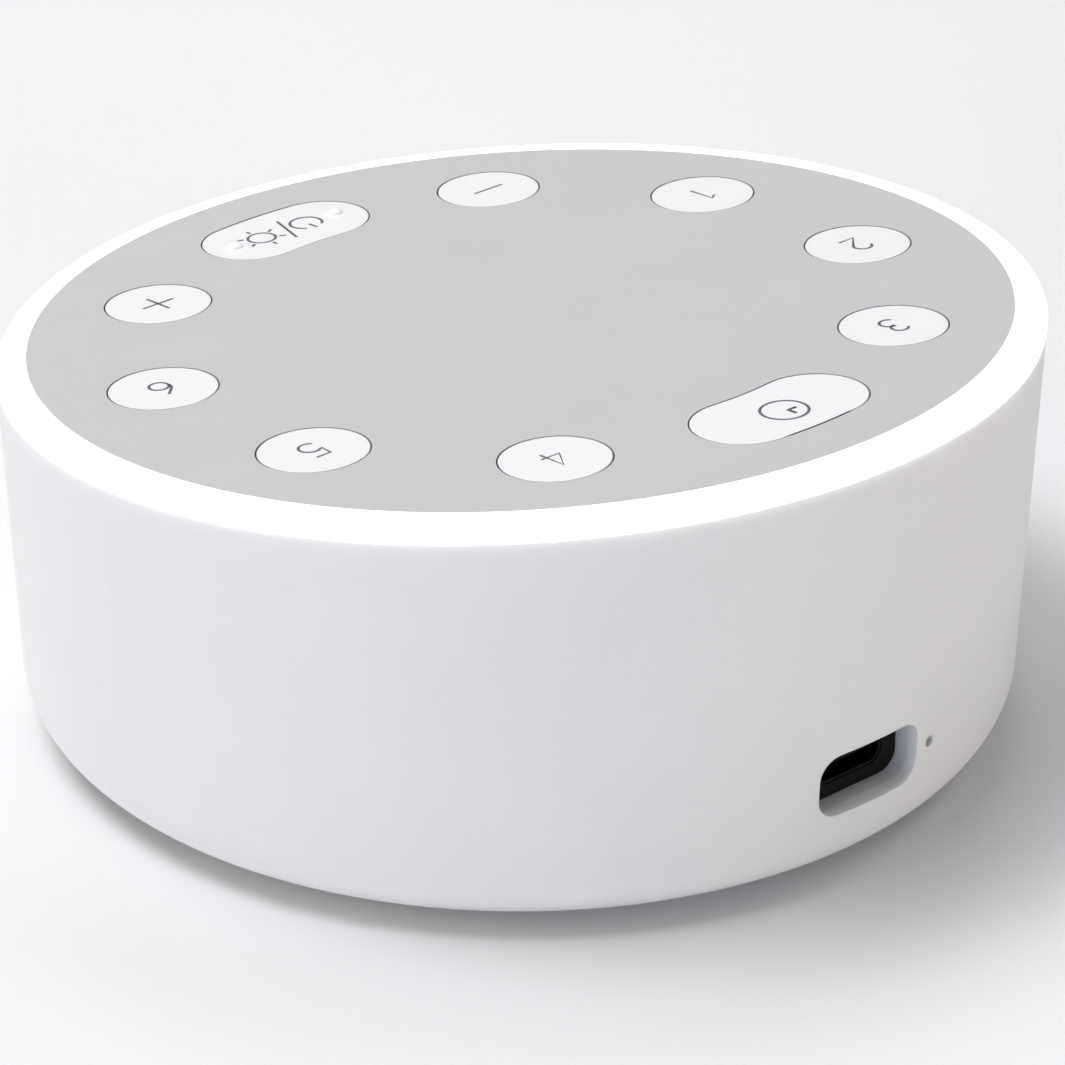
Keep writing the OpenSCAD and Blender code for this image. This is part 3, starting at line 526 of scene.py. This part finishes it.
level_bar = [(-BAR_HALF, 0), (BAR_HALF, 0)]
upright_bar = [(0, -BAR_HALF), (0, BAR_HALF)]
signs = {
    "volume_up": [level_bar, upright_bar],
    "volume_down": [level_bar],
    "timer": clock(CLOCK_R),
    "power_light": power_sign(POWER_X, 0) + [SLASH] + sun(SUN_X, 0),
}
for i in range(1, 7):
    signs["sound_%d" % i] = numeral(i)


def pen_strokes_tree(ink):
    """Sweeps a flat pen along every stroke of a sign."""
    tree, start, end = new_tree("pen_strokes", ["Line width", "Line depth"])
    node, link = tree.nodes.new, tree.links.new
    pen = node("GeometryNodeCurvePrimitiveQuadrilateral")
    level = node("GeometryNodeSetCurveNormal")
    level.mode = "Z_UP"
    sweep = node("GeometryNodeCurveToMesh")
    sweep.inputs["Fill Caps"].default_value = True
    link(start.outputs["Line width"], pen.inputs["Width"])
    link(start.outputs["Line depth"], pen.inputs["Height"])
    link(start.outputs["Outline"], level.inputs["Curve"])
    link(level.outputs["Curve"], sweep.inputs["Curve"])
    link(pen.outputs["Curve"], sweep.inputs["Profile Curve"])
    finish_tree(tree, sweep.outputs["Mesh"], end, ink)
    return tree


grey_ink = moulded_plastic("grey_ink", (0.16, 0.16, 0.17),
                           rough=0.6, grain=0.15 * mm, depth=0.004 * mm, mottle=0.02, gloss=0.3)
pen_strokes = pen_strokes_tree(grey_ink)
ink_sizes = {"Line width": INK_WIDTH, "Line depth": INK_DEPTH}
for key, strokes in signs.items():
    low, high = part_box(key + "_button")
    middle = to_panel @ ((low + high) / 2)
    if key in SIGN_Y:
        middle.y = SIGN_Y[key] * mm
    drawing = drawn_curve(key + "_strokes", strokes, mm)
    legend = run_tree(key + "_legend", drawing, pen_strokes, ink_sizes, grey_ink)
    lift = Matrix.Translation((middle.x, middle.y, INK_PROUD - INK_DEPTH / 2))
    place_mesh(legend, on_panel @ lift)
    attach(legend, key + "_button")

# -------------------------------------------------------------- keypad frame
# Under the panel a plain white frame guides the keys, over the switches and the
# green main board with its lamps, chips and capacitors.

wear("button_deck", moulded_plastic("frame_white", (0.74, 0.74, 0.73),
                                    rough=0.5, grain=0.5 * mm, depth=0.01 * mm))
plunger_black = moulded_plastic("plunger_black", (0.03, 0.03, 0.03),
                                rough=0.35, grain=0.4 * mm, depth=0.003 * mm, mottle=0.005)
for key in KEYS:
    wear(key + "_plunger", plunger_black)

LINE_STRETCH = 0.06
LINE_SHEEN_DRIFT = 0.08


def brushed_metal(name, colour, rough, line=0.25 * mm):
    """Metal with fine drawn lines along X and a tone that drifts a little."""
    made, tree, shader, place = new_material(name)
    stretch = tree.nodes.new("ShaderNodeMapping")
    stretch.inputs["Scale"].default_value = (LINE_STRETCH, 1, 1)
    tree.links.new(place, stretch.inputs["Vector"])
    lines = noise(tree, stretch.outputs["Vector"], line, 3, 0.6)
    drift = noise(tree, place, 6 * mm, 2)
    darker = tuple(c * 0.9 for c in colour)
    tree.links.new(mixed(tree, ranged(tree, drift, 0, 1), darker, colour), shader.inputs["Base Color"])
    sheen = ranged(tree, lines, rough - LINE_SHEEN_DRIFT, rough + LINE_SHEEN_DRIFT)
    tree.links.new(sheen, shader.inputs["Roughness"])
    bumped(tree, lines, 0.003 * mm, shader)
    shader.inputs["Metallic"].default_value = 1.0
    return made


WEAVE = 2.4 * mm


def board_finish(name):
    """Green solder mask over glass fibre, with the pale weave and darker copper areas showing through."""
    made, tree, shader, place = new_material(name)
    weave = tree.nodes.new("ShaderNodeTexBrick")
    weave.inputs["Scale"].default_value = 1.0 / WEAVE
    weave.inputs["Color1"].default_value = (0.02, 0.17, 0.08, 1)
    weave.inputs["Color2"].default_value = (0.03, 0.22, 0.11, 1)
    weave.inputs["Mortar"].default_value = (0.05, 0.30, 0.16, 1)
    tree.links.new(place, weave.inputs["Vector"])
    tree.links.new(weave.outputs["Color"], shader.inputs["Base Color"])
    fine = noise(tree, place, 0.4 * mm, 2)
    tree.links.new(ranged(tree, fine, 0.28, 0.38), shader.inputs["Roughness"])
    bumped(tree, fine, 0.004 * mm, shader)
    return made


plated_steel = brushed_metal("plated_steel", (0.60, 0.61, 0.63), rough=0.34)
board_green = board_finish("board_green")
chip_black = moulded_plastic("chip_black", (0.035, 0.035, 0.04),
                             rough=0.5, grain=0.12 * mm, depth=0.006 * mm, mottle=0.008)
lamp_white = moulded_plastic("lamp_white", (0.86, 0.85, 0.72), rough=0.35, grain=0.3 * mm, depth=0.003 * mm)
wear("switch_bodies", plated_steel)
for board in ("main_board", "usb_board"):
    wear(board, board_green)
for chip in ("sound_processor", "amplifier_chip", "memory_chip"):
    wear(chip, chip_black)
for lamp in ("ring_leds", "status_led"):
    wear(lamp, lamp_white)
wear("board_capacitors", brushed_metal("capacitor_can", (0.75, 0.76, 0.78), rough=0.28))
wear("ribbon_sockets", moulded_plastic("socket_cream", (0.78, 0.76, 0.68),
                                       rough=0.45, grain=0.3 * mm, depth=0.004 * mm))
wear("ribbon_cable", moulded_plastic("ribbon_film", (0.76, 0.77, 0.80),
                                     rough=0.3, grain=0.8 * mm, depth=0.004 * mm))
for screws in ("deck_screws", "board_screws", "usb_board_screws", "speaker_screws", "strap_screws"):
    wear(screws, plated_steel)

# ------------------------------------------------------------- charging port
# A flared slot in the shell leads to a black insert with the steel-shelled
# socket in it. A smoke-tinted light rod ends in the pinhole beside the slot.

port_black = moulded_plastic("port_black", (0.006, 0.006, 0.0065),
                             rough=0.6, grain=0.25 * mm, depth=0.004 * mm, mottle=0.002, gloss=0.12)
for black_piece in ("port_insert", "usb_tongue"):
    wear(black_piece, port_black)
wear("usb_shell", brushed_metal("socket_steel", (0.02, 0.02, 0.022), rough=0.4, line=0.12 * mm))
wear("usb_contacts", brushed_metal("contact_gold", (0.80, 0.58, 0.22), rough=0.25, line=0.1 * mm))


def clear_plastic(name):
    """Smoke-tinted plastic that lets some light through, with faint flow lines."""
    made, tree, shader, place = new_material(name)
    flow = noise(tree, place, 0.6 * mm, 2)
    smoke = mixed(tree, ranged(tree, flow, 0, 1), (0.03, 0.03, 0.035), (0.05, 0.05, 0.055))
    tree.links.new(smoke, shader.inputs["Base Color"])
    tree.links.new(ranged(tree, flow, 0.35, 0.45), shader.inputs["Roughness"])
    shader.inputs["Specular IOR Level"].default_value = 0.1
    shader.inputs["Transmission Weight"].default_value = 0.2
    shader.inputs["IOR"].default_value = 1.49
    return made


wear("status_light_pipe", clear_plastic("clear_plastic"))

# ------------------------------------------------------------------- speaker
# The driver fires down through the grille: black basket and rubber surround,
# paper cone, copper coil, cloth spider, and a ferrite magnet between steel plates.

wear("speaker_basket", moulded_plastic("basket_paint", (0.03, 0.03, 0.033),
                                       rough=0.4, grain=0.6 * mm, depth=0.008 * mm, mottle=0.005))
wear("speaker_gasket", moulded_plastic("gasket_foam", (0.03, 0.03, 0.03),
                                       rough=0.95, grain=0.5 * mm, depth=0.08 * mm, mottle=0.01, gloss=0.1))
wear("speaker_surround", moulded_plastic("surround_rubber", (0.02, 0.02, 0.022),
                                         rough=0.5, grain=0.3 * mm, depth=0.004 * mm, mottle=0.004))


def pulp_paper(name, colour):
    """Pressed paper pulp: short fibres and a dull surface."""
    made, tree, shader, place = new_material(name)
    fibre = noise(tree, place, 0.9 * mm, 6, 0.75)
    darker = tuple(c * 0.7 for c in colour)
    tree.links.new(mixed(tree, ranged(tree, fibre, 0, 1), darker, colour), shader.inputs["Base Color"])
    tree.links.new(ranged(tree, fibre, 0.8, 0.95), shader.inputs["Roughness"])
    bumped(tree, fibre, 0.06 * mm, shader)
    return made


cone_paper = pulp_paper("cone_paper", (0.075, 0.075, 0.08))
wear("speaker_cone", cone_paper)
wear("dust_cap", cone_paper)
wear("voice_coil", brushed_metal("coil_copper", (0.72, 0.32, 0.14), rough=0.3, line=0.12 * mm))
wear("speaker_spider", pulp_paper("spider_cloth", (0.60, 0.40, 0.16)))
wear("speaker_magnet", moulded_plastic("ferrite", (0.07, 0.07, 0.075),
                                       rough=0.6, grain=0.2 * mm, depth=0.01 * mm, mottle=0.01))
for plate in ("speaker_top_plate", "speaker_yoke", "battery_straps"):
    wear(plate, plated_steel)

# ------------------------------------------------------------------- battery
# One lithium cell in a shrink sleeve, strapped to the base plate behind the
# speaker.

wear("battery_cell", moulded_plastic("shrink_sleeve", (0.05, 0.16, 0.38),
                                     rough=0.3, grain=1.2 * mm, depth=0.01 * mm, mottle=0.01))

# ---------------------------------------------------------------- base plate
# The base is a flat moulded plate with the speaker's grille in it, screwed into
# the shell. It has the shell's own plastic with a slightly coarser grain.

wear("base_plate", moulded_plastic("base_white", (0.78, 0.78, 0.79),
                                   rough=0.55, grain=0.4 * mm, depth=0.016 * mm, mottle=0.008, gloss=0.4))
wear("base_screws", plated_steel)

# --------------------------------------------------------------- rubber feet
# Four soft grey pads are stuck in shallow pockets of the base. Rings moulded in
# their undersides keep the unit from creeping while the speaker plays.

foot_low, foot_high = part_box("rubber_feet")
FOOT_RADIUS = 5 * mm
FOOT_EDGE = 0.5 * mm
FOOT_CIRCLE = 37.5 * mm
FOOT_COUNT = 4
GROOVE_RADII = [1.4 * mm, 2.6 * mm, 3.8 * mm]
GROOVE_WIDTH = 0.5 * mm
GROOVE_DEPTH = 0.3 * mm
SPINE = 1 * mm
TURN_STEPS = 72


def foot_section():
    """Half section of a foot, from the middle of its underside round to the middle of its top."""
    underside = [(0, 0)]
    for r in GROOVE_RADII:
        underside += [(r - GROOVE_WIDTH / 2, 0), (r - GROOVE_WIDTH / 5, GROOVE_DEPTH),
                      (r + GROOVE_WIDTH / 5, GROOVE_DEPTH), (r + GROOVE_WIDTH / 2, 0)]
    edge = arc(FOOT_RADIUS - FOOT_EDGE, FOOT_EDGE, FOOT_EDGE, -90, 0, 8)
    height = foot_high.z - foot_low.z
    return underside + edge + [(FOOT_RADIUS, height), (0, height)]


def turned_feet_tree(made):
    """Turns the carrier's half section round an axis and stands a copy at each corner."""
    tree, start, end = new_tree("turned_feet", ["Foot circle", "Spine radius"])
    node, link = tree.nodes.new, tree.links.new
    spine = node("GeometryNodeCurvePrimitiveCircle")
    spine.inputs["Resolution"].default_value = TURN_STEPS
    sweep = node("GeometryNodeCurveToMesh")
    corners = node("GeometryNodeMeshCircle")
    corners.inputs["Vertices"].default_value = FOOT_COUNT
    turn = node("GeometryNodeTransform")
    turn.inputs["Rotation"].default_value = (0, 0, math.pi / FOOT_COUNT)
    copies = node("GeometryNodeInstanceOnPoints")
    link(start.outputs["Spine radius"], spine.inputs["Radius"])
    link(spine.outputs["Curve"], sweep.inputs["Curve"])
    link(start.outputs["Outline"], sweep.inputs["Profile Curve"])
    link(start.outputs["Foot circle"], corners.inputs["Radius"])
    link(corners.outputs["Mesh"], turn.inputs["Geometry"])
    link(turn.outputs["Geometry"], copies.inputs["Points"])
    link(sweep.outputs["Mesh"], copies.inputs["Instance"])
    finish_tree(tree, copies.outputs["Instances"], end, made)
    return tree


foot_rubber = moulded_plastic("foot_rubber", (0.26, 0.26, 0.28),
                              rough=0.85, grain=0.2 * mm, depth=0.01 * mm, mottle=0.01, gloss=0.2)
# The section is swept along a small circle, so it is drawn from that circle outwards and upside down.
section = drawn_curve("foot_section", [[(r - SPINE, -z) for r, z in foot_section()]])
foot_sizes = {"Foot circle": FOOT_CIRCLE, "Spine radius": SPINE}
feet = run_tree("moulded_feet", section, turned_feet_tree(foot_rubber), foot_sizes, foot_rubber)
place_mesh(feet, Matrix.Translation((0, 0, foot_low.z)), crisp=35)
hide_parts("rubber_feet")
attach(feet, "case")

# ---------------------------------------------------- table, light and camera
# A pale seamless table top, soft boxes all round, strongest from the left, and the
# camera at the photograph's angle, behind the unit and to its left.

FLOOR_COLOUR = (0.86, 0.86, 0.87)
FLOOR_SIDE = 6.0


def table_top(name):
    """Pale table top with a very faint drift in its tone, see-through from below."""
    made, tree, shader, place = new_material(name)
    drift = noise(tree, place, 400 * mm, 2)
    lighter = tuple(min(1.0, c + 0.006) for c in FLOOR_COLOUR)
    tree.links.new(mixed(tree, ranged(tree, drift, 0, 1), FLOOR_COLOUR, lighter), shader.inputs["Base Color"])
    shader.inputs["Roughness"].default_value = 0.8
    shader.inputs["Specular IOR Level"].default_value = 0.2
    side = tree.nodes.new("ShaderNodeNewGeometry")
    see_through = tree.nodes.new("ShaderNodeBsdfTransparent")
    blend = tree.nodes.new("ShaderNodeMixShader")
    tree.links.new(side.outputs["Backfacing"], blend.inputs["Fac"])
    tree.links.new(shader.outputs["BSDF"], blend.inputs[1])
    tree.links.new(see_through.outputs["BSDF"], blend.inputs[2])
    tree.links.new(blend.outputs["Shader"], tree.nodes["Material Output"].inputs["Surface"])
    return made


def flat_sheet(name, side, made):
    """A square facing up, level with the undersides of the feet."""
    mesh = bpy.data.meshes.new(name)
    h = side / 2
    mesh.from_pydata([(-h, -h, 0), (h, -h, 0), (h, h, 0), (-h, h, 0)], [], [(0, 1, 2, 3)])
    mesh.materials.append(made)
    sheet = bpy.data.objects.new(name, mesh)
    bpy.context.scene.collection.objects.link(sheet)
    return sheet


flat_sheet("table", FLOOR_SIDE, table_top("table_top"))

CAMERA_DISTANCE = 0.4985
CAMERA_ELEVATION = math.radians(24.91)
CAMERA_SIDE = math.radians(48.82)
LOOK_DOWN = math.radians(2.543)
LOOK_ASIDE = math.radians(-0.152)
LENS_PIXELS = 4912.7
PHOTO_PIXELS = 1065
SENSOR = 36.0
NEAREST = 0.01
FURTHEST = 20


def photo_camera():
    """The photograph's camera, from the circles of the keypad. Returns its right and the way out to it."""
    c, s = math.cos(CAMERA_ELEVATION), math.sin(CAMERA_ELEVATION)
    out = Vector((c * math.cos(CAMERA_SIDE), c * math.sin(CAMERA_SIDE), s))
    right = Vector((-math.sin(CAMERA_SIDE), math.cos(CAMERA_SIDE), 0))
    up = right.cross(-out)
    turn = Matrix.Rotation(LOOK_ASIDE, 3, up) @ Matrix.Rotation(-LOOK_DOWN, 3, right)
    right, up, back = turn @ right, turn @ up, turn @ out
    eye = bpy.data.cameras.new("photo_camera")
    eye.sensor_width = SENSOR
    eye.lens = LENS_PIXELS / PHOTO_PIXELS * SENSOR
    eye.clip_start, eye.clip_end = NEAREST, FURTHEST
    holder = bpy.data.objects.new("photo_camera", eye)
    place = out * CAMERA_DISTANCE + Vector((0, 0, panel_z))
    holder.matrix_world = Matrix.Translation(place) @ Matrix((right, up, back)).transposed().to_4x4()
    bpy.context.scene.collection.objects.link(holder)
    bpy.context.scene.camera = holder
    return right, out


UNIT_MIDDLE = Vector((0, 0, 0.02))


def full_power(distance):
    """Power at which a softbox at a distance would light the unit fully on its own."""
    return (math.pi * distance) ** 2


def soft_light(name, place, side, power, tint=(1, 1, 1)):
    """A square softbox that faces the unit and isn't itself seen."""
    lamp = bpy.data.lights.new(name, "AREA")
    lamp.shape = "SQUARE"
    lamp.size = side
    lamp.energy = power
    lamp.color = tint
    holder = bpy.data.objects.new(name, lamp)
    holder.visible_camera = False
    facing = (UNIT_MIDDLE - place).to_track_quat("-Z", "Y").to_matrix().to_4x4()
    holder.matrix_world = Matrix.Translation(place) @ facing
    bpy.context.scene.collection.objects.link(holder)
    return holder


right, out = photo_camera()
level = Vector((out.x, out.y, 0)).normalized()
SOFTBOX_DISTANCE = 1.3
SOFTBOX_SIDE = 0.6
# Each softbox: its angle from the camera's own side, its height in degrees, its share of the light, its tint.
softboxes = {
    "left": (-75, 70, 0.365, (0.96, 0.97, 1.0)),
    "far_left": (-95, 65, 0.203, (0.97, 0.91, 1.0)),
    "behind_left": (-120, 65, 0.150, (1.0, 0.96, 0.89)),
    "low_left": (-75, 18, 0.195, (1.0, 0.91, 0.56)),
    "low_near_left": (-40, 6, 0.363, (0.59, 0.72, 1.0)),
    "low_near_right": (40, 6, 0.396, (1.0, 0.94, 0.84)),
    "right": (110, 50, 0.133, (0.99, 0.97, 1.0)),
    "behind": (180, 60, 0.238, (0.93, 0.965, 1.0)),
}
for name, (side, height, share, tint) in softboxes.items():
    side, height = math.radians(side), math.radians(height)
    outwards = level * math.cos(side) + right * math.sin(side)
    way = outwards * math.cos(height) + Vector((0, 0, math.sin(height)))
    soft_light(name, way * SOFTBOX_DISTANCE, SOFTBOX_SIDE, full_power(SOFTBOX_DISTANCE) * share, tint)

# The table keeps the underside dark, so a softbox below it is linked to the base and what stands
# in it, and to nothing else.
UNDER_DISTANCE = 0.6
UNDER_SIDE = 0.5
UNDER_SHARE = 0.3
UNDERSIDE = ["base_plate", "base_screws", "speaker_basket", "speaker_cone", "speaker_surround", "dust_cap"]
under_power = full_power(UNDER_DISTANCE) * UNDER_SHARE
under = soft_light("under_light", Vector((0, 0, -UNDER_DISTANCE)), UNDER_SIDE, under_power)
reached = bpy.data.collections.new("underside")
for piece in [nodes[name] for name in UNDERSIDE] + [feet]:
    reached.objects.link(piece)
under.light_linking.receiver_collection = reached
under.light_linking.blocker_collection = reached

SKY_COLOUR = (0.98, 0.98, 1.0, 1)
SKY_STRENGTH = 0.05
sky = bpy.data.worlds.new("studio")
sky.use_nodes = True
sky.node_tree.nodes["Background"].inputs["Color"].default_value = SKY_COLOUR
sky.node_tree.nodes["Background"].inputs["Strength"].default_value = SKY_STRENGTH
bpy.context.scene.world = sky
bpy.context.scene.view_settings.view_transform = "Standard"
bpy.context.scene.view_settings.look = "None"
